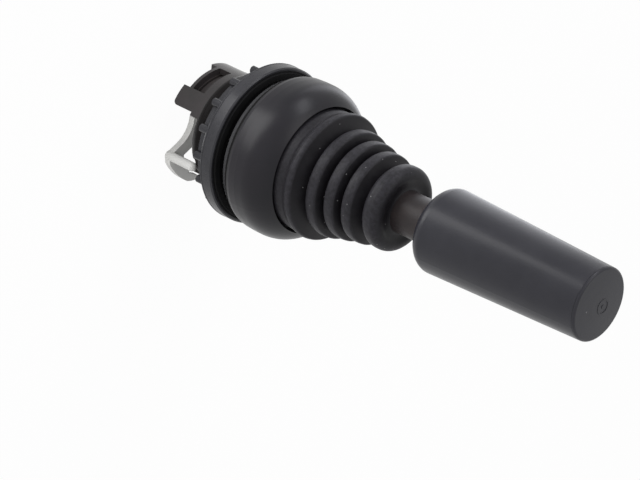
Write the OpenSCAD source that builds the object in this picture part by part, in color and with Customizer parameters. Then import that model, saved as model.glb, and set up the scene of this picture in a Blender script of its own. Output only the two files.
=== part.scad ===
// Two-position industrial joystick head for a round panel hole.
// The lever rocks about a cross pin and springs back upright. Its foot swings
// a rocker, whose two hooked arms work the switches behind the panel.
// +Z runs out of the panel along the lever, +X points along one rocker arm,
// and both pins run along Y. The origin is on the axis, in the plane of the
// panel's front face.

/* [Panel fixing] */
// Radius of the plain shank that fills the panel hole
shank_r = 10.9; // [10.8:0.05:11.1]
// Thickness of the panel that the clamp ring is set for
panel_t = 1.5; // [1.2:0.1:1.8]
// Outer radius of the clamp ring
clamp_r = 15.15; // [15:0.05:15.3]
// Thickness of the clamp ring
clamp_t = 2.3; // [2:0.1:2.6]
// Length of the lock nut
nut_l = 3.4; // [3.2:0.1:4]
// Number of grip lobes round the lock nut
lobe_count = 16; // [12:1:18]
// Radius over the tops of the grip lobes
lobe_top_r = 14.05; // [13.9:0.05:14.3]

/* [Barrel] */
// Radius over the crests of the thread
thread_r = 10.8; // [10.6:0.05:10.85]
// Length of barrel from the panel face to the end of the thread
thread_l = 11.1; // [10.8:0.1:11.4]
// Outer radius of the rear skirt
skirt_r = 10.45; // [10.3:0.05:10.55]
// Length of barrel from the panel face to the end of the skirt
skirt_l = 17.9; // [17.6:0.1:18.2]
// Angle of each side opening in the skirt, between the ends of its ears
opening_a = 95; // [90:1:96]
// Middle of the side opening, measured from +X
opening_mid_a = -3.5; // [-5:0.5:0]
// Angle of each skirt window, and of the cut-back rim behind it
window_a = 40; // [36:1:44]
// Length of each skirt window along the barrel
window_l = 2.9; // [2.5:0.1:3]
// Width of the rim behind each window
rim_w = 0.75; // [0.6:0.05:1]
// How far the ears reach past the rim
ear_l = 1.5; // [1.2:0.1:1.8]

/* [Bezel] */
// Greatest radius of the domed bezel
bezel_r = 15.0; // [14.8:0.05:15.2]
// Height of the bezel's mouth above the panel
mouth_z = 11.3; // [11.2:0.05:11.4]
// Radius of the bezel's mouth
mouth_r = 12.0; // [11.95:0.05:12.1]

/* [Boot] */
// Pitch of the folds along the boot
fold_pitch = 3.55; // [3.5:0.01:3.6]
// Height that the folds are counted from, just above the first one
first_fold_z = 14.85; // [14.8:0.05:14.95]
// Wall thickness of the boot
boot_t = 0.9; // [0.8:0.05:1]

/* [Lever] */
// Height of the cross pin that the lever rocks on
pivot_z = 4.2; // [4:0.1:4.4]
// Radius of both cross pins
pin_r = 1.5; // [1.4:0.05:1.6]
// Radius of the steel lever
shaft_r = 2.8; // [2.6:0.05:2.9]
// Radius of the sleeve on the bare neck
neck_r = 4.0; // [3.8:0.05:4.2]
// Radius of the ball on the lever's foot
foot_r = 1.6; // [1.5:0.05:1.65]
// How far the lever rocks each way
tilt_a = 15; // [12:1:15]

/* [Handle] */
// Height of the handle's lower end
grip_z = 39.75; // [39.5:0.05:40.5]
// Height of the handle's far end
grip_top_z = 76.25; // [72:0.05:80]
// Largest radius of the handle, near its lower end
grip_r = 7.97; // [7.5:0.01:8.5]
// Radius of the handle at its far end
grip_end_r = 6.8; // [6.3:0.05:7]

/* [Rocker] */
// Depth of the rocker's cross pin behind the panel face
rocker_pin_z = -11.5; // [-11.6:0.1:-11.4]
// Radius over the ends of the hooked arms
arm_r = 12.5; // [12.3:0.05:12.9]
// Thickness of the arm plate
arm_t = 1.3; // [1.2:0.1:1.4]
// How far the rocker swings each way
swing_a = 4; // [3:0.5:4]

/* [Hidden] */

$fn = 96;
eps = 0.01;
run_gap = 0.05;      // radial clearance of a turning fit
slide_gap = 0.15;    // clearance of a sliding face

// Panel end
flange_z = 0.2;
flange_t = 1.45;
flange_top_z = flange_z + flange_t;
flange_r = 14.05;
flange_back_r = 13.65;
groove_z = 1.3;      // groove between the flange and the bezel
groove_r = 13.5;
bezel_z = 1.95;
gasket_in_r = 11.9;
gasket_out_r = 13.2;
gasket_t = 0.85;
clamp_z = -panel_t;
nut_z = clamp_z - clamp_t;
seal_t = 0.25;
seal_in_r = 11.3;
seal_out_r = 14.6;

// Barrel bores
thread_root_r = thread_r - 0.25;
sleeve_r = 9.25;
sleeve_bore_r = 7.9;
sleeve_top_z = -3;
barrel_bore_r = 8.6;
spigot_r = 12.75;
spigot_z = 3.2;
spigot_bore_r = 11.5;
wall_mid_a = opening_mid_a - 90;
rim_z = -skirt_l + ear_l;
window_z = rim_z + rim_w;
step_a = 7.5;        // how much narrower the opening is in front of its step
step_z = -thread_l - 2.05;
ear_round = 0.9;

// Bezel section
shoulder_r = 6.6;
shoulder_z = mouth_z - 5.45;
lip_z = 9.3;
cavity_r = spigot_r + run_gap;

// Boot section: crest radii of the five folds, from the bezel to the neck.
// Each fold has a flat rim between two rounded corners.
crest_r = [12.1, 10.25, 9.35, 8.65, 8];
fold_count = len(crest_r);
last_fold = fold_count - 1;
first_rim_z = first_fold_z - 0.35;
first_rim = 0.35;    // half the height of the first fold's rim
rim_half = 0.7;
corner_r = 0.5;
bulb_step = 1.18;    // extra height of the last, fatter fold
bulb_rim = 0.3;
bulb_round = 1.75;
valley_depth = 2.6;
boot_collar_r = mouth_r - 0.35;
boot_bead_r = spigot_r;
gate_t = 1.1;
gate_z = lip_z - 1.0 - gate_t;
base_t = 1.35;       // base plate of the pivot carrier
screw_pos_r = 9.75;
screw_r = 0.7;

// Lever linkage. The foot's height gives the two arms of the linkage the
// ratio of their swings, so the ball stays in the middle of the fork.
link_ratio = sin(swing_a) / sin(tilt_a);
foot_z = pivot_z - (pivot_z - rocker_pin_z) * link_ratio / (1 + link_ratio);
hub_r = 2.9;
hub_half = 3;
shim_t = 0.26;
cheek_half = 3.3;
cheek_t = 2.2;
stub_r = 1;
spring_r = 5.2;
wire_r = 0.4;
spring_turns = 6;
collar_z = 21;
collar_t = 1.1;
clip_t = 0.6;
clip_groove_r = 2.3;

// Handle section
grip_round = 2.4;
insert_r = 3.8;
insert_z = grip_z + 0.9;
insert_top_z = grip_top_z - 8.5;
tang_r = 2.4;
head_bore_r = 4.6;
cap_z = grip_top_z - 0.7;

// Rocker
arm_z = -17.3;
arm_top_z = arm_z + arm_t;
arm_in_r = 10.95;
peg_r = 0.88;
peg_pos_r = 11.3;
peg_a = 3.6;
peg_top_z = -10.1;
relief_r = 9.95;
relief_w = 2.7;
bush_r = 2;
plate_r = 4.6;
waist_w = 2.35;
waist_a = 6;
waist_fillet_r = 5.6;
waist_fillet_x = 8.65;
elbow_r = 1.8;
head_in_r = 10.3;    // inner edge of the head beside the peg
head_a0 = 8;
head_a1 = 36;
tip_a0 = 40;         // where the head starts to narrow to its tip
tip_a1 = 50;

// Points along an arc in the plane, from angle a0 to a1
function arc(c, r, a0, a1, n) =
    [for (i = [0:n]) c + r * [cos(a0 + (a1 - a0) * i / n), sin(a0 + (a1 - a0) * i / n)]];

// Solid tube between two heights
module tube(r_out, r_in, z0, z1) {
    translate([0, 0, z0])
    difference() {
        cylinder(r = r_out, h = z1 - z0);
        translate([0, 0, -eps]) cylinder(r = r_in, h = z1 - z0 + 2 * eps);
    }
}

// Part of a tube between two angles
module ring_sector(r_out, r_in, z0, z1, a0, a1) {
    rotate([0, 0, a0])
    rotate_extrude(angle = a1 - a0)
    translate([r_in, z0]) square([r_out - r_in, z1 - z0]);
}

// Round bar along Y, centred on the axis
module cross_bar(r, half, z) {
    translate([0, 0, z]) rotate([90, 0, 0]) cylinder(r = r, h = 2 * half, center = true);
}

// ---------- housing ----------

module barrel() {
    color("#38373a")
    difference() {
        rotate_extrude() polygon([
            [barrel_bore_r, sleeve_top_z], [barrel_bore_r, flange_top_z],
            [spigot_bore_r, flange_top_z], [spigot_bore_r, spigot_z],
            [spigot_r - 0.3, spigot_z], [spigot_r, spigot_z - 0.3],
            [spigot_r, flange_top_z], [groove_r, flange_top_z], [groove_r, groove_z],
            [flange_r - 0.1, groove_z], [flange_r, groove_z - 0.1],
            [flange_back_r, flange_z], [gasket_out_r, flange_z],
            [gasket_out_r, gasket_t], [gasket_in_r, gasket_t],
            [gasket_in_r, flange_z], [shank_r, flange_z],
            [shank_r, -panel_t + 0.05], [thread_root_r, -panel_t - 0.3],
            [thread_root_r, -thread_l + 0.45], [skirt_r, -thread_l + 0.1],
            [skirt_r, -skirt_l], [sleeve_r + run_gap, -skirt_l],
            each snap_bead(sleeve_r + run_gap), [sleeve_r + run_gap, sleeve_top_z]
        ]);
        for (side = [0, 180]) rotate([0, 0, side]) {
            // side opening that an arm passes through, stepped in front
            rotate([0, 0, opening_mid_a]) {
                skirt_cut(opening_a, -skirt_l - 1, step_z);
                skirt_cut(opening_a - step_a, step_z - eps, -thread_l);
                for (edge = [-1, 1]) rotate([0, 0, edge * opening_a / 2]) ear_corner(edge);
            }
            // window in the wall that is left, and the space between its ears
            rotate([0, 0, wall_mid_a]) {
                skirt_cut(window_a, window_z, window_z + window_l);
                skirt_cut(window_a, -skirt_l - 1, rim_z);
            }
            // relief that a peg of the rocker moves in
            rotate([0, 0, side == 0 ? peg_a : -peg_a])
            translate([relief_r, -relief_w / 2, -thread_l - 1]) cube([2, relief_w, 3.2]);
            // screw holes of the pivot carrier
            translate([screw_pos_r, 0, -2.2]) cylinder(r = screw_r, h = 5, $fn = 32);
        }
    }
}

// Wedge that cuts the skirt's wall over an angle, between two heights
module skirt_cut(a, z0, z1, depth = 1) {
    rotate([0, 0, -a / 2])
    rotate_extrude(angle = a)
    translate([sleeve_r - depth, z0]) square([depth + 2, z1 - z0]);
}

// Rounds the end corner of an ear, beside the opening
module ear_corner(edge) {
    rotate([0, 90, 0]) rotate([0, 0, 90]) translate([0, 0, sleeve_r - 1])
    linear_extrude(height = 3)
    difference() {
        translate([edge > 0 ? -eps : -ear_round, -skirt_l - 1]) square([ear_round + eps, ear_round + 1]);
        translate([edge * ear_round, -skirt_l + ear_round - 0.03]) circle(r = ear_round);
    }
}

// Bead that snaps the inner sleeve into the barrel's bore, in section
function snap_bead(r) = [[r, -6.2], [r + 0.3, -5.8], [r + 0.3, -5.2], [r, -4.8]];

module panel_gasket() {
    color("#141414") tube(gasket_out_r, gasket_in_r, 0, gasket_t);
}

module bezel() {
    color("#37373a")
    rotate_extrude() polygon(concat(
        [[cavity_r, lip_z], [cavity_r, flange_top_z], [groove_r, flange_top_z]],
        [[groove_r, bezel_z]],
        arc([bezel_r - 0.5, bezel_z + 0.25], 0.25, -90, -15, 4),
        [[bezel_r - 0.08, shoulder_z - 3], [bezel_r, shoulder_z - 1.5]],
        arc([bezel_r - shoulder_r, shoulder_z], shoulder_r, 0, 53, 16),
        [[mouth_r + 0.2, mouth_z - 0.04], [mouth_r, mouth_z - 0.25], [mouth_r, lip_z]]
    ));
}

// Outline of one fold in section, from the valley below it to the one above
function fold(r, z, half, round_r, a0, a1, n) = concat(
    arc([r - round_r, z - half], round_r, a0, 0, n),
    arc([r - round_r, z + half], round_r, 0, a1, n)
);
function crest_z(i) = first_fold_z + i * fold_pitch + (i == last_fold ? bulb_step : 0);
function valley(i) = [
    (crest_r[i] + crest_r[i + 1]) / 2 - valley_depth,
    (crest_z(i) + crest_z(i + 1)) / 2
];

module boot() {
    bulb_z = crest_z(last_fold);
    bulb_x = crest_r[last_fold] - bulb_round;
    front_z = bulb_z + bulb_rim + bulb_round;
    collar_in_r = boot_collar_r - boot_t;
    outer = concat(
        [[boot_bead_r, gate_z + gate_t], [boot_bead_r, lip_z], [boot_collar_r, lip_z]],
        // shallow groove between the collar and the first fold
        [[boot_collar_r, first_rim_z - 1.5], [boot_collar_r - 0.2, first_rim_z - 1.3]],
        [[boot_collar_r - 0.2, first_rim_z - 1.15]],
        fold(crest_r[0], first_rim_z, first_rim, corner_r, -60, 80, 5),
        [valley(0)],
        [for (i = [1:last_fold - 1]) each concat(
            fold(crest_r[i], crest_z(i), rim_half, corner_r, -80, 80, 5), [valley(i)])],
        fold(crest_r[last_fold], bulb_z, bulb_rim, bulb_round, -75, 100, 9),
        // dished front that meets the neck
        [[neck_r + 1.3, front_z - 0.3], [neck_r + 0.5, front_z - 0.35], [neck_r + 0.15, front_z - 0.1]]
    );
    inner = concat(
        [[neck_r + run_gap, front_z - 0.1], [neck_r + run_gap, front_z - 1.2]],
        [[neck_r + boot_t, front_z - 1.25]],
        arc([bulb_x, bulb_z], bulb_round - boot_t, 150, -60, 10),
        [for (i = [last_fold - 1:-1:0]) each concat(
            [valley(i) - [boot_t, 0]],
            [for (side = [1, -1]) [
                crest_r[i] - boot_t,
                (i == 0 ? first_rim_z : crest_z(i)) + side * (i == 0 ? 0.1 : rim_half - 0.4)
            ]])],
        [[collar_in_r, first_rim_z - 1.5], [collar_in_r, gate_z + gate_t]]
    );
    color("#282a2c") rotate_extrude() polygon(concat(outer, inner));
}

module gate_plate() {
    color("#8c8f93")
    difference() {
        translate([0, 0, gate_z]) cylinder(r = boot_bead_r, h = gate_t);
        // slot that keeps the lever to one plane and stops it at each end
        slot_w = shaft_r + slide_gap;
        slot_end = shaft_r / cos(tilt_a) + (gate_z + gate_t - pivot_z) * tan(tilt_a) + slide_gap;
        translate([0, 0, gate_z - 1]) {
            for (x = [-1, 1]) translate([x * (slot_end - slot_w), 0, 0]) cylinder(r = slot_w, h = 4);
            translate([-(slot_end - slot_w), -slot_w, 0]) cube([2 * (slot_end - slot_w), 2 * slot_w, 4]);
        }
    }
}

module pivot_carrier() {
    base_top = flange_top_z + base_t;
    color("#c9b27a")
    difference() {
        union() {
            tube(spigot_bore_r - 0.05, 5.6, flange_top_z, base_top);
            for (y = [-1, 1])
                translate([-4.2, y > 0 ? cheek_half : -cheek_half - cheek_t, flange_top_z])
                cube([8.4, cheek_t, gate_z - flange_top_z]);
        }
        cross_bar(pin_r, 8, pivot_z);
        for (x = [-1, 1])
            translate([x * screw_pos_r, 0, flange_top_z - 1])
            cylinder(r = screw_r + 0.1, h = 4, $fn = 32);
    }
}

module carrier_screws() {
    head_z = flange_top_z + base_t;
    color("#9a9da1")
    for (x = [-1, 1]) translate([x * screw_pos_r, 0, 0])
    difference() {
        union() {
            translate([0, 0, -2]) cylinder(r = screw_r, h = head_z + 2, $fn = 32);
            translate([0, 0, head_z]) cylinder(r = 1.5, h = 1.1, $fn = 48);
        }
        translate([-0.25, -2, head_z + 0.6]) cube([0.5, 4, 1]);
    }
}

module pivot_pin() {
    color("#b4b7ba") cross_bar(pin_r, cheek_half + cheek_t - 0.1, pivot_z);
}

module shim_washers() {
    color("#c8ccd0")
    for (y = [-1, 1]) translate([0, y * (hub_half + 0.02 + shim_t / 2), pivot_z]) rotate([90, 0, 0])
    difference() {
        cylinder(r = 2.6, h = shim_t, center = true);
        cylinder(r = pin_r + run_gap, h = 1, center = true);
    }
}

module inner_sleeve() {
    end_z = rim_z + 0.3;
    color("#2b2728")
    difference() {
        rotate_extrude() polygon([
            [sleeve_bore_r, end_z], [sleeve_r, end_z],
            // ring groove seen through the windows
            [sleeve_r, window_z + 0.35], [sleeve_r - 0.4, window_z + 0.35],
            [sleeve_r - 0.4, window_z + 0.85], [sleeve_r, window_z + 0.85],
            each snap_bead(sleeve_r), [sleeve_r, sleeve_top_z], [sleeve_bore_r, sleeve_top_z]
        ]);
        cross_bar(pin_r, 12, rocker_pin_z);
        // same side openings as the skirt
        for (side = [0, 180]) rotate([0, 0, side + opening_mid_a])
            skirt_cut(opening_a, -skirt_l, -thread_l, 3);
    }
}

module rocker_pin() {
    color("#b4b7ba") cross_bar(pin_r, sleeve_r - 0.4, rocker_pin_z);
}

// ---------- lever ----------

// Coil of round wire, swept along its helix with closed ends
module coil(r, wire, z0, z1, turns, sides = 8, per_turn = 20) {
    steps = turns * per_turn;
    pts = [for (i = [0:steps], j = [0:sides - 1])
        let (a = i * 360 / per_turn, b = j * 360 / sides,
             z = z0 + (z1 - z0) * i / steps, d = r + wire * cos(b))
        [d * cos(a), d * sin(a), z + wire * sin(b)]];
    walls = [for (i = [0:steps - 1], j = [0:sides - 1])
        let (k = i * sides + j, m = i * sides + (j + 1) % sides)
        [k, k + sides, m + sides, m]];
    ends = [
        [for (j = [0:sides - 1]) j],
        [for (j = [sides - 1:-1:0]) steps * sides + j]
    ];
    polyhedron(points = pts, faces = concat(walls, ends), convexity = 10);
}

module centring_spring() {
    color("#a6a9ad")
    coil(spring_r, wire_r, gate_z + gate_t + wire_r + 0.03, collar_z - wire_r - 0.03, spring_turns);
}

module lever_shaft() {
    tang_z = insert_z;
    color("#9fa2a6")
    difference() {
        union() {
            cross_bar(hub_r, hub_half, pivot_z);
            translate([0, 0, pivot_z]) cylinder(r = shaft_r, h = tang_z - pivot_z);
            translate([0, 0, tang_z]) cylinder(r = tang_r, h = insert_top_z - tang_z);
            translate([0, 0, foot_z - 0.9]) cylinder(r = stub_r, h = pivot_z - foot_z + 0.9);
        }
        cross_bar(pin_r + run_gap, 10, pivot_z);
        tube(shaft_r + 1, clip_groove_r, collar_z + collar_t, collar_z + collar_t + clip_t);
        translate([0, 0, insert_top_z - 9]) cylinder(r = 1.25, h = 10, $fn = 32);
    }
}

module foot_ball() {
    color("#e6e2d6")
    difference() {
        translate([0, 0, foot_z]) sphere(r = foot_r);
        translate([0, 0, foot_z - 0.9]) cylinder(r = stub_r, h = 4);
        cross_bar(hub_r + eps, hub_half, pivot_z);
    }
}

module spring_collar() {
    color("#55585c")
    difference() {
        union() {
            translate([0, 0, collar_z]) cylinder(r = spring_r + wire_r + 0.2, h = collar_t);
            translate([0, 0, collar_z - 1.2]) cylinder(r = spring_r - wire_r - 0.2, h = 1.3);
        }
        translate([0, 0, collar_z - 3]) cylinder(r = shaft_r, h = 6);
    }
}

module collar_clip() {
    z0 = collar_z + collar_t;
    color("#8b8e92") ring_sector(shaft_r + 1.2, clip_groove_r, z0, z0 + clip_t, 35, 325);
}

module neck_sleeve() {
    color("#423a3a")
    difference() {
        union() {
            translate([0, 0, collar_z + 3]) cylinder(r = neck_r, h = insert_z - collar_z - 3);
            translate([0, 0, collar_z + 3]) cylinder(r = neck_r - 0.4, h = 1);
        }
        translate([0, 0, collar_z]) cylinder(r = shaft_r, h = 30);
    }
}

// Rings round the insert that hold it in the moulding
module insert_rings() {
    for (k = [0:2]) translate([0, 0, insert_z + 4 + 8 * k])
        tube(insert_r + 0.4, insert_r - 1, 0, 3);
}

module grip_insert() {
    color("#c2a050")
    union() {
        tube(insert_r, tang_r, insert_z, insert_top_z);
        insert_rings();
    }
}

module grip() {
    color("#3c3c42")
    difference() {
        rotate_extrude() polygon(concat(
            [[neck_r + eps, grip_z], [grip_r - grip_round, grip_z]],
            arc([grip_r - grip_round, grip_z + grip_round], grip_round, -80, 0, 10),
            [[grip_end_r, cap_z]],
            [[head_bore_r, cap_z], [head_bore_r, insert_top_z], [insert_r, insert_top_z],
             [insert_r, insert_z], [neck_r + eps, insert_z]]
        ));
        insert_rings();
    }
}

module grip_washer() {
    color("#b4b7ba") tube(4.2, 1.45, insert_top_z, insert_top_z + 0.5);
}

module grip_screw() {
    head_z = insert_top_z + 0.5;
    color("#a8abaf")
    difference() {
        union() {
            translate([0, 0, insert_top_z - 8]) cylinder(r = 1.25, h = 8.6, $fn = 32);
            translate([0, 0, head_z]) cylinder(r = 2.4, h = 2.2, $fn = 48);
        }
        translate([0, 0, head_z + 1]) cylinder(r = 1.2, h = 3, $fn = 6);
    }
}

module grip_cap() {
    edge = 0.5;
    top = grip_top_z - cap_z;
    mark_pos = [-0.57, 0.78];
    color("#414147")
    translate([0, 0, cap_z]) {
        rotate_extrude() polygon(concat(
            [[0, -2.4], [head_bore_r - 0.03, -2.4], [head_bore_r - 0.03, 0]],
            [[grip_end_r - 0.08, 0]],
            arc([grip_end_r - edge, top - edge - 0.15], edge, 0, 80, 7),
            [[grip_end_r * 0.66, top - 0.08], [grip_end_r * 0.33, top - 0.02], [0, top]]
        ));
        // witness ring and pip of the moulding gate
        translate([mark_pos[0], mark_pos[1], top - 0.1]) {
            tube(1.45, 1.2, 0, 0.15);
            cylinder(r = 0.35, h = 0.17, $fn = 32);
        }
    }
}

// ---------- rocker ----------

// Point at a radius and an angle
function polar(r, a) = [r * cos(a), r * sin(a)];

// Hooked arm in plan: a waist from the hub's plate, then a head that follows
// the barrel round and narrows to a rounded tip
module hooked_arm() {
    elbow_x = sqrt(pow(arm_r - elbow_r, 2) - pow(elbow_r - waist_w / 2, 2));
    translate([0, 0, arm_z]) {
        linear_extrude(height = arm_t) {
            rotate([0, 0, waist_a]) {
                translate([0, -waist_w / 2]) square([elbow_x, waist_w]);
                // fillet where the waist leaves the plate
                polygon(concat([[0, 0]],
                    arc([waist_fillet_x, -waist_w / 2 - waist_fillet_r], waist_fillet_r, 150, 90, 10)));
                // round elbow where the waist turns into the head
                translate([elbow_x, elbow_r - waist_w / 2]) circle(r = elbow_r);
            }
        }
        ring_sector(arm_r, head_in_r, 0, arm_t, head_a0, head_a1);
        ring_sector(arm_r, arm_in_r, 0, arm_t, head_a0, tip_a0);
        linear_extrude(height = arm_t) polygon([
            polar(arm_r - 0.02, tip_a0 - 1), polar(arm_r, tip_a0), polar(arm_r - 0.25, tip_a0 + 4.5),
            polar(arm_r - 0.6, tip_a1 - 0.5), polar(arm_r - 0.9, tip_a1 + 1),
            polar(arm_in_r + 0.25, tip_a1 + 1), polar(arm_in_r + 0.02, tip_a1),
            polar(arm_in_r + 0.01, tip_a0 + 5), polar(arm_in_r + 0.01, tip_a0),
            polar(arm_in_r + 0.02, tip_a0 - 1)
        ]);
    }
    // peg that reaches forward towards the nut
    rotate([0, 0, peg_a]) translate([peg_pos_r, 0, arm_z + eps]) {
        cylinder(r = peg_r, h = peg_top_z - arm_z - peg_r, $fn = 32);
        translate([0, 0, peg_top_z - arm_z - peg_r]) sphere(r = peg_r, $fn = 32);
    }
}

module rocker() {
    fork_top = foot_z + 0.15;
    slot_half = foot_r + slide_gap;
    color("#dcdcda")
    difference() {
        union() {
            // stem with the fork at its top
            translate([-3.1, -2.2, rocker_pin_z]) cube([6.2, 4.4, fork_top - rocker_pin_z]);
            cross_bar(2.9, 2.6, rocker_pin_z);
            // web down to the arm plate
            translate([-3.4, -2.2, arm_z]) cube([6.8, 4.4, rocker_pin_z - arm_z]);
            translate([0, 0, arm_z]) cylinder(r = plate_r, h = arm_t);
            hooked_arm();
            mirror([1, 0, 0]) hooked_arm();
        }
        cross_bar(bush_r, 10, rocker_pin_z);
        translate([-slot_half, -5, foot_z - foot_r - 0.6]) cube([2 * slot_half, 10, 8]);
    }
}

module rocker_bush() {
    color("#c2a050")
    translate([0, 0, rocker_pin_z]) rotate([90, 0, 0])
    difference() {
        cylinder(r = bush_r, h = 5.2, center = true);
        cylinder(r = pin_r + run_gap, h = 8, center = true);
    }
}

// ---------- clamp ring and nut ----------

module clamp_ring() {
    edge = 0.25;
    color("#47474b")
    rotate_extrude() polygon([
        [thread_r + 0.16, clamp_z - seal_t], [seal_out_r, clamp_z - seal_t], [seal_out_r, clamp_z],
        [clamp_r - edge, clamp_z], [clamp_r, clamp_z - edge],
        [clamp_r, nut_z], [thread_r + 0.16, nut_z]
    ]);
}

// Flat seal in the front of the clamp ring, with a raised rib
module clamp_seal() {
    rib = [13, 14.15];
    rib_h = 0.3;
    color("#141414")
    rotate_extrude() polygon([
        [seal_in_r, clamp_z - seal_t], [seal_out_r, clamp_z - seal_t], [seal_out_r, clamp_z],
        [rib[1] + 0.1, clamp_z], [rib[1], clamp_z + rib_h],
        [rib[0], clamp_z + rib_h], [rib[0] - 0.1, clamp_z], [seal_in_r, clamp_z]
    ]);
}

module lock_nut() {
    lobe_r = 0.75;
    lobe_back = 0.06;
    root_r = 12.96;
    collar_l = 1.35;
    end_z = nut_z - nut_l;
    color("#444448")
    union() {
        rotate_extrude() polygon([
            [thread_r + 0.03, nut_z], [clamp_r - 0.06, nut_z],
            [clamp_r + 0.06, nut_z - 0.12], [clamp_r + 0.04, nut_z - 0.3],
            [lobe_top_r + 0.1, nut_z - collar_l], [root_r, nut_z - collar_l],
            [root_r, end_z + 0.2], [root_r - 0.2, end_z], [thread_r + 0.03, end_z]
        ]);
        for (k = [0:lobe_count - 1]) rotate([0, 0, k * 360 / lobe_count + 0.75])
            translate([lobe_top_r - lobe_r, 0, end_z + lobe_back])
            cylinder(r = lobe_r, h = nut_l - collar_l - lobe_back + eps, $fn = 32);
    }
}

barrel();
panel_gasket();
bezel();
boot();
gate_plate();
pivot_carrier();
carrier_screws();
pivot_pin();
shim_washers();
inner_sleeve();
rocker_pin();
centring_spring();
lever_shaft();
foot_ball();
spring_collar();
collar_clip();
neck_sleeve();
grip_insert();
grip();
grip_washer();
grip_screw();
grip_cap();
rocker();
rocker_bush();
clamp_ring();
clamp_seal();
lock_nut();
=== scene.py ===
import math

import bpy
from mathutils import Matrix, Vector


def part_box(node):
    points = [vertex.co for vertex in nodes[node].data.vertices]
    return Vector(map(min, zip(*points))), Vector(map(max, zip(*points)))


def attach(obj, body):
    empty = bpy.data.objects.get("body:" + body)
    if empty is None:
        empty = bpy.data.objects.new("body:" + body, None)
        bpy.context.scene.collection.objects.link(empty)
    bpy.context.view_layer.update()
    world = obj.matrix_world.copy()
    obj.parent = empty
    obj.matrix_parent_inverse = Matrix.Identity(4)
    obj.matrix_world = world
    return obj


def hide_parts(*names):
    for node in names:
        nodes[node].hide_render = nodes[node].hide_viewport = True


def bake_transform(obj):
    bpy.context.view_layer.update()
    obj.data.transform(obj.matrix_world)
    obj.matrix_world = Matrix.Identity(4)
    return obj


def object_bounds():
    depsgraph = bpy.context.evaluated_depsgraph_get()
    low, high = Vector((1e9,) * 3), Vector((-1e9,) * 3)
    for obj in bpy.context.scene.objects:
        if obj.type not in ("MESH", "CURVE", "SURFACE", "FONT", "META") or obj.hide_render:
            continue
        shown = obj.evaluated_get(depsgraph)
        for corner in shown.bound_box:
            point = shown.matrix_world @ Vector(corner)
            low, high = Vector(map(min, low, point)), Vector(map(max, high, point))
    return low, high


mm = 0.001

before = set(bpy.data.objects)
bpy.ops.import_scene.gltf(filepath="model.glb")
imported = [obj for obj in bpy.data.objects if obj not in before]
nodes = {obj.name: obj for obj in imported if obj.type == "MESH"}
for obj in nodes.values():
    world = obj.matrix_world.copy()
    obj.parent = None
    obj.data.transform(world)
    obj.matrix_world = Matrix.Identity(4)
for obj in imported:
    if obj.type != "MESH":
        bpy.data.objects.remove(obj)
cadBox = [list(corner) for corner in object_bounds()]
print("loaded", len(nodes), "CAD nodes")


# Turns an sRGB hex code to the linear values that Blender works in.
def hexColour(code):
    values = [int(code[i:i + 2], 16) / 255 for i in (1, 3, 5)]
    return [v / 12.92 if v <= 0.04045 else ((v + 0.055) / 1.055) ** 2.4 for v in values] + [1.0]


# Adds a node, sets its own settings and its sockets, and links what comes in.
def addNode(tree, kind, settings=None, values=None, links=None):
    node = tree.nodes.new(kind)
    for name, value in (settings or {}).items():
        setattr(node, name, value)
    for socket, value in (values or {}).items():
        node.inputs[socket].default_value = value
    for socket, source in (links or {}).items():
        tree.links.new(source, node.inputs[socket])
    return node


cameraSetup = {
    "lens": 163.32,              # mm: a long lens, so little perspective
    "sensor": 36,                # mm
    "clip": (0.01, 20),          # m
    "position": (0.246526, -0.339328, 0.325298),
    "right": (-0.668396, 0.181796, 0.721246),
    "up": (-0.587152, -0.724232, -0.361578),
}


def makeCamera(setup):
    data = bpy.data.cameras.new("camera")
    data.lens = setup["lens"]
    data.sensor_width = setup["sensor"]
    data.clip_start, data.clip_end = setup["clip"]
    camera = bpy.data.objects.new("camera", data)
    bpy.context.scene.collection.objects.link(camera)
    right, up = Vector(setup["right"]).normalized(), Vector(setup["up"]).normalized()
    turned = Matrix((right, up, right.cross(up))).transposed()
    camera.matrix_world = Matrix.Translation(setup["position"]) @ turned.to_4x4()
    bpy.context.scene.camera = camera


makeCamera(cameraSetup)
print("camera placed")

studio = {
    "floorGap": 0.0006,          # m below the lowest corner, so the rocker's arms swing clear
    "floorSize": 6,              # m
    "paper": "#ffffff",
    "shadowKeep": 0.04,          # how much of the paper's own shading the camera sees
    "fill": 0.42,                # sky strength for the light that reaches surfaces
}
sideKey = {                      # tall softbox beside the object, mirrored down one side of the bezel
    "name": "sideKey", "place": (-0.31, -0.39, 0.18), "target": (0, 0, 0.03),
    "size": (0.15, 0.32), "watts": 0.68, "colour": "#f8f9ff", "mirrored": True,
}
overhead = {                     # large and even, from above
    "name": "overheadSoftbox", "place": (-0.16, -0.20, 0.44), "target": (0, 0, 0.03),
    "size": (0.34, 0.30), "watts": 0.45, "colour": "#fffefc", "mirrored": True,
}
frontFill = {                    # wide, and left out of mirrored light, so the gloss shows no patch of it
    "name": "frontFill", "place": (0.42, -0.34, 0.10), "target": (0, 0, 0.02),
    "size": (0.40, 0.34), "watts": 1.25, "colour": "#fffefc", "mirrored": False,
}
floorStrip = {                   # low strip that draws the long highlights down the sides
    "name": "floorStrip", "place": (0.022, -0.115, -0.017), "target": (0.022, -0.115, 1),
    "size": (0.04, 0.17), "watts": 0.075, "colour": "#ffffff", "mirrored": True,
}
backGlow = {                     # low panel behind, for the pale band along the far edges
    "name": "backGlow", "place": (-0.10, 0.0, -0.017), "target": (-0.10, 0.0, 1),
    "size": (0.09, 0.13), "watts": 0.045, "colour": "#f4f6ff", "mirrored": True,
}


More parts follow.
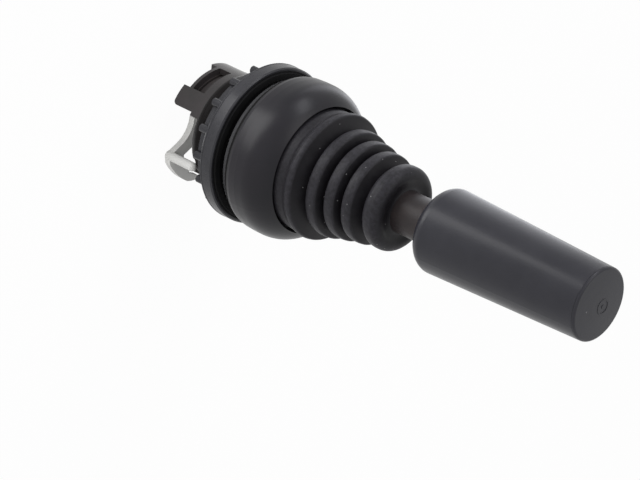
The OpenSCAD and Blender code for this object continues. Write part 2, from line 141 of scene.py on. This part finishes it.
# One for a ray that comes from the camera, straight or by way of gloss or glass, and zero for the rest.
def seenRays(tree):
    rays = addNode(tree, "ShaderNodeLightPath")
    mirrored = addNode(tree, "ShaderNodeMath", {"operation": "MAXIMUM"},
                       links={0: rays.outputs["Is Camera Ray"], 1: rays.outputs["Is Glossy Ray"]})
    seen = addNode(tree, "ShaderNodeMath", {"operation": "MAXIMUM"},
                   links={0: mirrored.outputs[0], 1: rays.outputs["Is Transmission Ray"]})
    return seen.outputs[0]


# An even sky for the light, and plain white at strength 1 where it is seen.
def makeWorld():
    world = bpy.data.worlds.new("studioWorld")
    bpy.context.scene.world = world
    world.use_nodes = True
    tree = world.node_tree
    tree.nodes.clear()
    seen = seenRays(tree)
    fill = addNode(tree, "ShaderNodeBackground",
                   values={"Color": hexColour("#ffffff"), "Strength": studio["fill"]})
    white = addNode(tree, "ShaderNodeBackground", values={"Color": hexColour("#ffffff"), "Strength": 1.0})
    mix = addNode(tree, "ShaderNodeMixShader", links={0: seen, 1: fill.outputs[0], 2: white.outputs[0]})
    addNode(tree, "ShaderNodeOutputWorld", links={"Surface": mix.outputs[0]})


# White paper, seen mostly as plain white, with a little of its own shading left for the object's shadow.
def makeFloor():
    lowest = cadBox[0][2] - studio["floorGap"]
    bpy.ops.mesh.primitive_plane_add(size=studio["floorSize"], location=(0, 0, lowest))
    floor = bpy.context.object
    floor.name = "studioFloor"
    paper = bpy.data.materials.new("mattePaper")
    paper.use_nodes = True
    tree = paper.node_tree
    tree.nodes.clear()
    share = addNode(tree, "ShaderNodeMath", {"operation": "MULTIPLY"}, {1: 1 - studio["shadowKeep"]},
                    {0: seenRays(tree)})
    lit = addNode(tree, "ShaderNodeBsdfDiffuse", values={"Color": hexColour(studio["paper"])})
    plain = addNode(tree, "ShaderNodeEmission", values={"Color": hexColour("#ffffff"), "Strength": 1.0})
    mix = addNode(tree, "ShaderNodeMixShader",
                  links={0: share.outputs[0], 1: lit.outputs[0], 2: plain.outputs[0]})
    addNode(tree, "ShaderNodeOutputMaterial", links={"Surface": mix.outputs[0]})
    floor.data.materials.append(paper)


def makeLamp(setup):
    data = bpy.data.lights.new(setup["name"], "AREA")
    data.shape = "RECTANGLE"
    data.size, data.size_y = setup["size"]
    data.energy = setup["watts"]
    data.color = hexColour(setup["colour"])[:3]
    lamp = bpy.data.objects.new(setup["name"], data)
    lamp.location = setup["place"]
    aim = Vector(setup["target"]) - Vector(setup["place"])
    lamp.rotation_euler = aim.to_track_quat("-Z", "Y").to_euler()
    lamp.visible_camera = False
    lamp.visible_glossy = setup["mirrored"]
    bpy.context.scene.collection.objects.link(lamp)


makeWorld()
makeFloor()
for lampSetup in (sideKey, overhead, frontFill, floorStrip, backGlow):
    makeLamp(lampSetup)
bpy.context.scene.view_settings.view_transform = "Standard"
print("studio built")

noiseSpan = {"From Min": 0.3, "From Max": 0.7}   # nearly all of a noise pattern's values lie between these
grainDepth = 0.25                                # as a share of the grain's width
lineBump = {"strength": 0.15, "depth": 0.02}     # mm, for the lines on metal


# Injection-moulded plastic or rubber: a mid-gloss skin with an etched grain and faint cloudy mottling.
def mouldedPlastic(name, look):
    material = bpy.data.materials.new(name)
    material.use_nodes = True
    tree = material.node_tree
    tree.nodes.clear()
    place = addNode(tree, "ShaderNodeTexCoord").outputs["Object"]
    cloud = addNode(tree, "ShaderNodeTexNoise", values={"Scale": 1 / (look["cloud"] * mm), "Detail": 3.0},
                    links={"Vector": place})
    tone = addNode(tree, "ShaderNodeMapRange", values=noiseSpan, links={"Value": cloud.outputs["Fac"]})
    colour = addNode(tree, "ShaderNodeMix", {"data_type": "RGBA"},
                     {6: hexColour(look["colour"]), 7: hexColour(look["mottle"])}, {0: tone.outputs[0]})
    surface = colour.outputs[2]
    # The layers lay on a paler rim that is partly film and partly painted highlight, bands of painted shade and
    # painted highlight, and specks of lint.
    layers = [(filmAndHighlightAmount(tree, place, filmLight), filmLight) for filmLight in look.get("filmsAndHighlights", ())]
    layers += [(bandAmount(tree, place, band), band) for band in look.get("bands", ())]
    layers += [(dustAmount(tree, place, dust), dust) for dust in look.get("dusts", ())]
    for amount, layer in layers:
        mixed = addNode(tree, "ShaderNodeMix", {"data_type": "RGBA"}, {7: hexColour(layer["colour"])},
                        {0: amount, 6: surface})
        surface = mixed.outputs[2]
    rough = addNode(tree, "ShaderNodeMapRange",
                    values={**noiseSpan, "To Min": look["rough"][0], "To Max": look["rough"][1]},
                    links={"Value": cloud.outputs["Fac"]})
    grain = addNode(tree, "ShaderNodeTexNoise", values={"Scale": 1 / (look["grain"] * mm), "Detail": 2.0},
                    links={"Vector": place})
    bump = addNode(tree, "ShaderNodeBump",
                   values={"Strength": look["bump"], "Distance": look["grain"] * mm * grainDepth},
                   links={"Height": grain.outputs["Fac"]})
    shader = addNode(tree, "ShaderNodeBsdfPrincipled",
                     values={"IOR": look["ior"], "Specular IOR Level": look["specular"]},
                     links={"Base Color": surface, "Roughness": rough.outputs[0], "Normal": bump.outputs[0]})
    addNode(tree, "ShaderNodeOutputMaterial", links={"Surface": shader.outputs[0]})
    return material


# A paler grey on the folds' rims, partly a dull film and partly painted highlight, read from the piece's own
# attribute and broken up by fine scuffing.
def filmAndHighlightAmount(tree, place, filmLight):
    reach = addNode(tree, "ShaderNodeAttribute", {"attribute_name": filmLight["attribute"]})
    scuff = addNode(tree, "ShaderNodeTexNoise", values={"Scale": 1 / (filmLight["scuff"] * mm), "Detail": 4.0},
                    links={"Vector": place})
    broken = addNode(tree, "ShaderNodeMapRange",
                     values={"From Min": filmLight["span"][0], "From Max": filmLight["span"][1],
                             "To Min": filmLight["thinnest"], "To Max": 1.0},
                     links={"Value": scuff.outputs["Fac"]})
    amount = addNode(tree, "ShaderNodeMath", {"operation": "MULTIPLY"},
                     links={0: reach.outputs["Fac"], 1: broken.outputs[0]})
    return amount.outputs[0]


# A band between two heights and inside a radius, painted another colour: painted shade in grooves and along
# shadowed lengths, and a painted highlight along a lit edge.
def bandAmount(tree, place, band):
    axes = addNode(tree, "ShaderNodeSeparateXYZ", links={"Vector": place})
    over = addNode(tree, "ShaderNodeMath", {"operation": "GREATER_THAN"}, {1: band["low"] * mm},
                   {0: axes.outputs["Z"]})
    under = addNode(tree, "ShaderNodeMath", {"operation": "LESS_THAN"}, {1: band["high"] * mm},
                    {0: axes.outputs["Z"]})
    flat = addNode(tree, "ShaderNodeCombineXYZ", links={"X": axes.outputs["X"], "Y": axes.outputs["Y"]})
    reach = addNode(tree, "ShaderNodeVectorMath", {"operation": "LENGTH"}, links={0: flat.outputs[0]})
    inside = addNode(tree, "ShaderNodeMath", {"operation": "LESS_THAN"}, {1: band["radius"] * mm},
                     {0: reach.outputs["Value"]})
    between = addNode(tree, "ShaderNodeMath", {"operation": "MULTIPLY"},
                      links={0: over.outputs[0], 1: under.outputs[0]})
    amount = addNode(tree, "ShaderNodeMath", {"operation": "MULTIPLY"},
                     links={0: between.outputs[0], 1: inside.outputs[0]})
    return amount.outputs[0]


# Specks of lint: the middles of a few cells of a cell pattern turn pale.
def dustAmount(tree, place, dust):
    cells = addNode(tree, "ShaderNodeTexVoronoi", values={"Scale": 1 / (dust["spacing"] * mm)},
                    links={"Vector": place})
    speck = addNode(tree, "ShaderNodeMath", {"operation": "LESS_THAN"}, {1: dust["size"] / dust["spacing"]},
                    {0: cells.outputs["Distance"]})
    apart = addNode(tree, "ShaderNodeSeparateColor", links={"Color": cells.outputs["Color"]})
    chosen = addNode(tree, "ShaderNodeMath", {"operation": "LESS_THAN"}, {1: dust["share"]},
                     {0: apart.outputs[0]})
    shown = addNode(tree, "ShaderNodeMath", {"operation": "MULTIPLY"},
                    links={0: speck.outputs[0], 1: chosen.outputs[0]})
    amount = addNode(tree, "ShaderNodeMath", {"operation": "MULTIPLY"}, {1: dust["strength"]},
                     {0: shown.outputs[0]})
    return amount.outputs[0]


# Metal: bright or plated, with fine lines left by turning or drawing and a cloudy roughness.
def workedMetal(name, look):
    material = bpy.data.materials.new(name)
    material.use_nodes = True
    tree = material.node_tree
    tree.nodes.clear()
    place = addNode(tree, "ShaderNodeTexCoord").outputs["Object"]
    stretch = addNode(tree, "ShaderNodeMapping", values={"Scale": look["lines"]}, links={"Vector": place})
    lines = addNode(tree, "ShaderNodeTexNoise", values={"Scale": 1 / (look["spacing"] * mm), "Detail": 3.0},
                    links={"Vector": stretch.outputs[0]})
    rough = addNode(tree, "ShaderNodeMapRange",
                    values={**noiseSpan, "To Min": look["rough"][0], "To Max": look["rough"][1]},
                    links={"Value": lines.outputs["Fac"]})
    colour = addNode(tree, "ShaderNodeMix", {"data_type": "RGBA"},
                     {6: hexColour(look["colour"]), 7: hexColour(look["shade"])}, {0: lines.outputs["Fac"]})
    bump = addNode(tree, "ShaderNodeBump",
                   values={"Strength": lineBump["strength"], "Distance": lineBump["depth"] * mm},
                   links={"Height": lines.outputs["Fac"]})
    shader = addNode(tree, "ShaderNodeBsdfPrincipled", values={"Metallic": 1.0},
                     links={"Base Color": colour.outputs[2], "Roughness": rough.outputs[0],
                            "Normal": bump.outputs[0]})
    addNode(tree, "ShaderNodeOutputMaterial", links={"Surface": shader.outputs[0]})
    return material


# Sizes in mm. Etched grain is really about 0.1 mm wide, too fine to show, so it is drawn two to five times that.
plasticLooks = {
    # handle: charcoal ABS from an etched mould, so a satin sheen and a broad soft highlight, with a little lint
    "charcoalAbs": {
        "colour": "#26262c", "mottle": "#2b2b31", "cloud": 6, "rough": (0.28, 0.34),
        "grain": 0.35, "bump": 0.12, "ior": 1.5, "specular": 0.27,
        "dusts": [{"spacing": 3.2, "size": 0.15, "share": 0.16, "strength": 0.45, "colour": "#9a9a9c"}],
    },
    # bezel: black PA6 from a smoother mould, so a clear sheen over near-black, with painted shade low down by
    # the seal: the dome's lowest edge painted near-black for the shadow line under it
    "satinBlackNylon": {
        "colour": "#15151a", "mottle": "#1d1b20", "cloud": 9, "rough": (0.29, 0.35),
        "grain": 0.5, "bump": 0.06, "ior": 1.5, "specular": 0.24,
        # painted shade: a near-black band for the shadow under the dome's lower edge
        "bands": [{"low": 1.5, "high": 2.25, "radius": 20, "colour": "#060606"}],
    },
    # clamp ring and nut: glass-filled nylon, greyer, with faint clouds where the fibres lie near the skin
    "glassFilledNylon": {
        "colour": "#2b2b2f", "mottle": "#323236", "cloud": 2.5, "rough": (0.24, 0.32),
        "grain": 0.25, "bump": 0.12, "ior": 1.5, "specular": 0.26,
    },
    # barrel: nylon of a brownish batch, glossier, with painted shade along the thread's length, a painted
    # highlight on the flange's edge and painted shade in the groove
    "brownBlackNylon": {
        "colour": "#333131", "mottle": "#3b3738", "cloud": 4, "rough": (0.17, 0.23),
        "grain": 0.3, "bump": 0.1, "ior": 1.5, "specular": 0.3,
        "bands": [
            # painted shade: the length between the skirt and the nut, near-black for the shadow there
            {"low": -11.0, "high": -1.5, "radius": 20, "colour": "#0d0b0b"},
            # painted highlight: the flange, a lighter neutral grey for the light on its edge
            {"low": 0, "high": 1.1, "radius": 20, "colour": "#424244"},
            # painted shade: the groove under the bezel, near-black for the shadow in it
            {"low": 1.1, "high": 1.7, "radius": 20, "colour": "#060606"},
        ],
    },
    # thread: the same nylon painted nearly black, as painted shade for the thread in shadow between the skirt
    # and the nut, with little shine
    "threadNylonPaintedShade": {
        "colour": "#0b0909", "mottle": "#120f0f", "cloud": 2, "rough": (0.42, 0.5),
        "grain": 0.2, "bump": 0.1, "ior": 1.5, "specular": 0.1,
    },
    # inner sleeve: black nylon with a coarse grain, so dull and a shade lighter than black
    "blackNylonSleeve": {
        "colour": "#2b2728", "mottle": "#332f2e", "cloud": 3, "rough": (0.5, 0.6),
        "grain": 0.3, "bump": 0.2, "ior": 1.5, "specular": 0.25,
    },
    # neck: dark nylon tube with a faint brown cast and a low sheen
    "neckNylon": {
        "colour": "#231f20", "mottle": "#2c2626", "cloud": 3, "rough": (0.42, 0.5),
        "grain": 0.3, "bump": 0.18, "ior": 1.5, "specular": 0.3,
    },
    # rocker: off-white acetal, slightly waxy
    "whiteAcetal": {
        "colour": "#dcdcda", "mottle": "#e6e6e4", "cloud": 4, "rough": (0.42, 0.5),
        "grain": 0.4, "bump": 0.08, "ior": 1.48, "specular": 0.5,
    },
    # pivot carrier: undyed acetal, a waxy tan
    "naturalAcetal": {
        "colour": "#c9b27a", "mottle": "#cfbb88", "cloud": 4, "rough": (0.4, 0.5),
        "grain": 0.3, "bump": 0.1, "ior": 1.5, "specular": 0.5,
    },
    # foot ball: undyed nylon, a warm cream with a soft shine
    "naturalNylon": {
        "colour": "#e6e2d6", "mottle": "#dcd6c6", "cloud": 3, "rough": (0.38, 0.46),
        "grain": 0.3, "bump": 0.1, "ior": 1.5, "specular": 0.5,
    },
    # gasket and seals: moulded nitrile rubber, a flat near-black
    "nitrileRubber": {
        "colour": "#111112", "mottle": "#161617", "cloud": 2, "rough": (0.7, 0.8),
        "grain": 0.25, "bump": 0.2, "ior": 1.5, "specular": 0.12,
    },
    # boot: moulded EPDM rubber, a soft black sheen, with a paler grey on the rims that is partly a dull film and
    # partly painted highlight, and specks of lint
    "epdmRubber": {
        "colour": "#151417", "mottle": "#1b1a1d", "cloud": 1.6, "rough": (0.42, 0.52),
        "grain": 0.22, "bump": 0.3, "ior": 1.5, "specular": 0.17,
        # partly a dull film and partly painted highlight: the rims painted a paler grey for the light along them
        "filmsAndHighlights": [{"attribute": "rimFilmAndHighlight", "scuff": 0.6, "span": (0.35, 0.65), "thinnest": 0.3,
                   "colour": "#2c2b30"}],
        "dusts": [{"spacing": 1.2, "size": 0.1, "share": 0.2, "strength": 0.6, "colour": "#a8a8a8"}],
    },
}
# Sizes in mm. A last scale of 14 squeezes the pattern into fine lines round the axis, about 0.03 mm apart.
metalLooks = {
    # plate, collar, washer and screws: pressed steel with bright zinc, pale and faintly cloudy
    "zincPlatedSteel": {
        "colour": "#b9bcc0", "shade": "#a3a7ad", "lines": (1, 1, 1), "spacing": 0.8, "rough": (0.3, 0.42),
    },
    # shaft, pins and shims: ground steel, bright with fine lines round it
    "groundSteel": {
        "colour": "#c3c5c8", "shade": "#adb0b4", "lines": (1, 1, 14), "spacing": 0.5, "rough": (0.2, 0.32),
    },
    # spring and clip: drawn steel wire without plating, so a duller grey
    "springWire": {
        "colour": "#9c9ea1", "shade": "#85878b", "lines": (1, 1, 1), "spacing": 0.3, "rough": (0.28, 0.4),
    },
    # bush and grip insert: turned brass, yellow with tool lines round it
    "turnedBrass": {
        "colour": "#d6b163", "shade": "#c39c4c", "lines": (1, 1, 14), "spacing": 0.4, "rough": (0.22, 0.34),
    },
}
finish = {name: mouldedPlastic(name, look) for name, look in plasticLooks.items()}
finish.update({name: workedMetal(name, look) for name, look in metalLooks.items()})

nodeFinish = {
    "barrel": "brownBlackNylon", "panel_gasket": "nitrileRubber", "clamp_seal": "nitrileRubber",
    "bezel": "satinBlackNylon", "boot": "epdmRubber", "gate_plate": "zincPlatedSteel",
    "pivot_carrier": "naturalAcetal", "carrier_screws": "zincPlatedSteel", "pivot_pin": "groundSteel",
    "shim_washers": "groundSteel", "inner_sleeve": "blackNylonSleeve", "rocker_pin": "groundSteel",
    "centring_spring": "springWire", "lever_shaft": "groundSteel", "foot_ball": "naturalNylon",
    "spring_collar": "zincPlatedSteel", "collar_clip": "springWire", "neck_sleeve": "neckNylon",
    "grip_insert": "turnedBrass", "grip": "charcoalAbs", "grip_washer": "zincPlatedSteel",
    "grip_screw": "zincPlatedSteel", "grip_cap": "charcoalAbs", "rocker": "whiteAcetal",
    "rocker_bush": "turnedBrass", "clamp_ring": "glassFilledNylon", "lock_nut": "glassFilledNylon",
}
for nodeName, finishName in nodeFinish.items():
    for slot in nodes[nodeName].material_slots:
        slot.material = finish[finishName]
print("finishes set on", len(nodeFinish), "nodes")

weldGap = 0.002 * mm             # points nearer than this are merged


def deselectAll():
    bpy.ops.object.select_all(action="DESELECT")


def applyPlace():
    bpy.ops.object.transform_apply(location=True, rotation=True, scale=True)


# Points along an arc in the (radius, height) plane, in mm, from one angle to another in degrees.
def arcPoints(centre, radius, start, end, count):
    turns = [math.radians(start + (end - start) * i / count) for i in range(count + 1)]
    return [(centre[0] + radius * math.cos(t), centre[1] + radius * math.sin(t)) for t in turns]


# Draws an outline of (radius, height) points in mm, one by one, and joins its two ends.
def drawOutline(name, outline):
    deselectAll()
    bpy.ops.mesh.primitive_plane_add(size=mm, location=(outline[0][0] * mm, 0, outline[0][1] * mm))
    piece = bpy.context.object
    piece.name = piece.data.name = name
    bpy.ops.object.mode_set(mode="EDIT")
    bpy.ops.mesh.merge(type="CENTER")    # the plane shrinks to the first point
    for here, there in zip(outline, outline[1:]):
        step = ((there[0] - here[0]) * mm, 0, (there[1] - here[1]) * mm)
        bpy.ops.mesh.extrude_region_move(TRANSFORM_OT_translate={"value": step})
    bpy.ops.object.mode_set(mode="OBJECT")
    last = len(piece.data.vertices) - 1
    for vertex in piece.data.vertices:
        vertex.select = vertex.index in (0, last)
    bpy.ops.object.mode_set(mode="EDIT")
    bpy.ops.mesh.edge_face_add()
    bpy.ops.object.mode_set(mode="OBJECT")
    return piece


# Spins a closed outline round the Z axis.
def spinOutline(name, outline, steps):
    piece = drawOutline(name, outline)
    bpy.ops.object.mode_set(mode="EDIT")
    bpy.ops.mesh.select_all(action="SELECT")
    bpy.ops.mesh.spin(steps=steps, angle=2 * math.pi, center=(0, 0, 0), axis=(0, 0, 1))
    bpy.ops.mesh.select_all(action="SELECT")
    bpy.ops.mesh.remove_doubles(threshold=weldGap)
    bpy.ops.mesh.normals_make_consistent(inside=False)
    bpy.ops.object.mode_set(mode="OBJECT")
    applyPlace()
    return piece


# Winds a piece's outline up the Z axis, rising by the pitch each turn, and closes its two ends.
def windOutline(piece, pitch, turns, stepsPerTurn):
    screw = piece.modifiers.new("screw", "SCREW")
    screw.screw_offset = pitch
    screw.iterations = turns
    screw.steps = screw.render_steps = stepsPerTurn
    bpy.ops.object.modifier_apply(modifier="screw")
    bpy.ops.object.mode_set(mode="EDIT")
    bpy.ops.mesh.select_all(action="SELECT")
    bpy.ops.mesh.fill_holes(sides=0)
    bpy.ops.mesh.normals_make_consistent(inside=False)
    bpy.ops.object.mode_set(mode="OBJECT")


# Sizes in mm and turns in degrees, from the bezel to the neck.
bellows = {
    # radius, height, half the height of the flat rim, and corner radius of each fold
    "folds": (
        (12.1, 14.5, 0.35, 0.5), (10.25, 18.4, 0.7, 0.5), (9.35, 21.95, 0.7, 0.5), (8.65, 25.5, 0.7, 0.5),
        (8.0, 30.23, 0.3, 1.75),
    ),
    "rimTurn": 6,            # where a corner passes into the rim
    "flankTurn": 84,         # where a corner passes into the flank
    "footTurn": 60,          # the same below the first fold, which slopes in to the collar
    "cornerSteps": 7,
    "crown": 0.07,           # how far each rim bulges at its middle
    "crownFall": 0.3,        # share of that bulge lost halfway to the corner
    "valleyDepth": 3.0,
    "valleyRound": 0.3,
    "valleyTurns": (105, 255, 6),            # start, end and steps of the bend outside
    "valleyTurnsInside": (250, 110, 4),
    "lastLower": (-75, 0, 16),               # the last fold's lower and upper corner, and its inside
    "lastUpper": (0, 100, 20),
    "lastInside": (150, -60, 14),
    "bead": (12.75, 8.3, 9.3),               # radius, bottom and top, held under the bezel
    "collar": 11.65,
    # shallow groove under the first fold: radius, and how far below the fold
    "groove": ((11.65, 1.55), (11.59, 1.4), (11.42, 1.25), (11.42, 1.12)),
    "neck": 4.0,
    # dished front: how far out from the neck, and how far below the top
    "dish": ((1.5, 0.2), (1.0, 0.34), (0.5, 0.36), (0.2, 0.22), (0.05, 0.1), (0.05, 1.2)),
    "wall": 0.7,
    "lip": 1.25,             # depth of the wall's edge on the neck
    "backing": 0.2,          # extra thickness behind the rims and the collar
    "shoulder": 1.5,         # how far below the first fold the collar's inside ends
    "steps": 160,
    "filmHighlightFade": 1.1,         # how far down a fold's flank the film and painted highlight reach, in corner radii
    "filmHighlightLeast": 0.6,        # how much of it the collar has
    "filmHighlightFoot": 1.1,         # how far below the first fold the collar's film and painted highlight start
    "sharp": 50,             # edges steeper than this stay sharp
}


# Outer outline of one fold: two rounded corners with a slightly crowned rim between them.
def foldOutline(setup, fold, start):
    radius, height, half, corner = fold
    crown, rimTurn, steps = setup["crown"], setup["rimTurn"], setup["cornerSteps"]
    inset, side = radius - corner - crown, radius - crown * setup["crownFall"]
    lower = arcPoints((inset, height - half), corner, start, -rimTurn, steps)
    upper = arcPoints((inset, height + half), corner, rimTurn, setup["flankTurn"], steps)
    return lower + [(side, height - half / 2), (radius, height), (side, height + half / 2)] + upper


# The boot's whole outline: up the outside from the bead to the neck, and back down the inside.
def bellowsOutline(setup):
    folds, wall, collar, neck = setup["folds"], setup["wall"], setup["collar"], setup["neck"]
    beadRadius, beadLow, beadHigh = setup["bead"]
    bend, thick = setup["valleyRound"], wall + setup["backing"]
    valleys = [((low[0] + high[0]) / 2 - setup["valleyDepth"], (low[1] + high[1]) / 2)
               for low, high in zip(folds, folds[1:])]
    foot = folds[0][1]
    outline = [(beadRadius, beadLow), (beadRadius, beadHigh), (collar, beadHigh)]
    outline += [(radius, foot - drop) for radius, drop in setup["groove"]]
    for i, (x, z) in enumerate(valleys):
        outline += foldOutline(setup, folds[i], -setup["footTurn"] if i == 0 else -setup["flankTurn"])
        outline += arcPoints((x + bend, z), bend, *setup["valleyTurns"])
    radius, height, half, corner = folds[-1]
    top = height + half + corner
    outline += arcPoints((radius - corner, height - half), corner, *setup["lastLower"])
    outline += arcPoints((radius - corner, height + half), corner, *setup["lastUpper"])
    outline += [(neck + out, top - down) for out, down in setup["dish"]]
    outline += [(neck + wall, top - setup["lip"])]
    outline += arcPoints((radius - corner, height), corner - wall, *setup["lastInside"])
    for (radius, height, half, corner), (x, z) in zip(folds[-2::-1], valleys[::-1]):
        outline += arcPoints((x - wall + bend, z), bend, *setup["valleyTurnsInside"])
        outline += [(radius - thick, height + half / 2), (radius - thick, height - half / 2)]
    return outline + [(collar - thick, foot - setup["shoulder"]), (collar - thick, beadLow)]


# Marks how much of the rims' paler grey, partly film and partly painted highlight, each point has: full on a
# rim, and fading down the flanks.
def markFilmAndHighlight(piece, setup):
    filmLight = piece.data.attributes.new("rimFilmAndHighlight", "FLOAT", "POINT")
    collarTop = setup["folds"][0][1] - setup["filmHighlightFoot"]
    for vertex in piece.data.vertices:
        reach, level = math.hypot(vertex.co.x, vertex.co.y) / mm, vertex.co.z / mm
        amounts = [setup["filmHighlightLeast"] if level < collarTop else 0]
        for radius, height, half, corner in setup["folds"]:
            if abs(level - height) < half + corner:
                amounts.append(min(1, 1 - (radius - reach) / (setup["filmHighlightFade"] * corner)))
        filmLight.data[vertex.index].value = max(amounts)


def makeBellows(setup):
    piece = spinOutline("bellowsBoot", bellowsOutline(setup), setup["steps"])
    markFilmAndHighlight(piece, setup)
    piece.data.materials.append(finish["epdmRubber"])
    bpy.ops.object.shade_smooth_by_angle(angle=math.radians(setup["sharp"]))
    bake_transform(piece)
    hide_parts("boot")


makeBellows(bellows)
print("bellows modelled")

coil = {"radius": 5.2, "wire": 0.4, "turns": 6, "sides": 12, "stepsPerTurn": 28, "sharp": 60}


def makeCoil(setup):
    low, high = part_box("centring_spring")
    radius, wire = setup["radius"] * mm, setup["wire"] * mm
    deselectAll()
    bpy.ops.mesh.primitive_circle_add(vertices=setup["sides"], radius=wire, fill_type="NOTHING",
                                      location=(radius, 0, low.z + wire), rotation=(math.radians(90), 0, 0))
    piece = bpy.context.object
    piece.name = piece.data.name = "returnCoil"
    applyPlace()
    rise = high.z - low.z - 2 * wire
    windOutline(piece, rise / setup["turns"], setup["turns"], setup["stepsPerTurn"])
    piece.data.materials.append(finish["springWire"])
    bpy.ops.object.shade_smooth_by_angle(angle=math.radians(setup["sharp"]))
    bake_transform(piece)
    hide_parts("centring_spring")


makeCoil(coil)
print("return spring modelled")

# The cord's outline stops short of a full turn, where its two ends are joined.
seal = {"radius": 13.98, "height": 1.62, "round": 0.42, "lastTurn": 340, "sides": 17, "steps": 128, "sharp": 60}


# Round near-black cord filling the groove between the flange and the bezel, so the groove shows as a dark line.
def makeGrooveSeal(setup):
    outline = arcPoints((setup["radius"], setup["height"]), setup["round"], 0, setup["lastTurn"], setup["sides"])
    piece = spinOutline("grooveSeal", outline, setup["steps"])
    piece.data.materials.append(finish["nitrileRubber"])
    bpy.ops.object.shade_smooth_by_angle(angle=math.radians(setup["sharp"]))
    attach(piece, "housing")


makeGrooveSeal(seal)
print("groove seal modelled")

thread = {
    "root": 10.56, "crest": 10.8, "pitch": 1.5, "low": -11.0, "turns": 6,
    "flank": 0.495,          # half the ridge's width at its root, as a share of the pitch
    "tip": 0.1,              # and at its crest
    "startAngle": -105, "stepsPerTurn": 96, "sharp": 35,
}


# The single-start thread, as one ridge wound along the barrel.
def makeThread(setup):
    root, crest, pitch = setup["root"], setup["crest"], setup["pitch"]
    middle, flank, tip = setup["low"] + pitch / 2, pitch * setup["flank"], pitch * setup["tip"]
    piece = drawOutline("threadRidge", [(root, middle - flank), (crest, middle - tip),
                                        (crest, middle + tip), (root, middle + flank)])
    applyPlace()
    piece.rotation_euler.z = math.radians(setup["startAngle"])
    applyPlace()
    windOutline(piece, pitch * mm, setup["turns"], setup["stepsPerTurn"])
    # the thread's near-black finish is painted shade
    piece.data.materials.append(finish["threadNylonPaintedShade"])
    bpy.ops.object.shade_smooth_by_angle(angle=math.radians(setup["sharp"]))
    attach(piece, "housing")


makeThread(thread)
print("thread modelled")
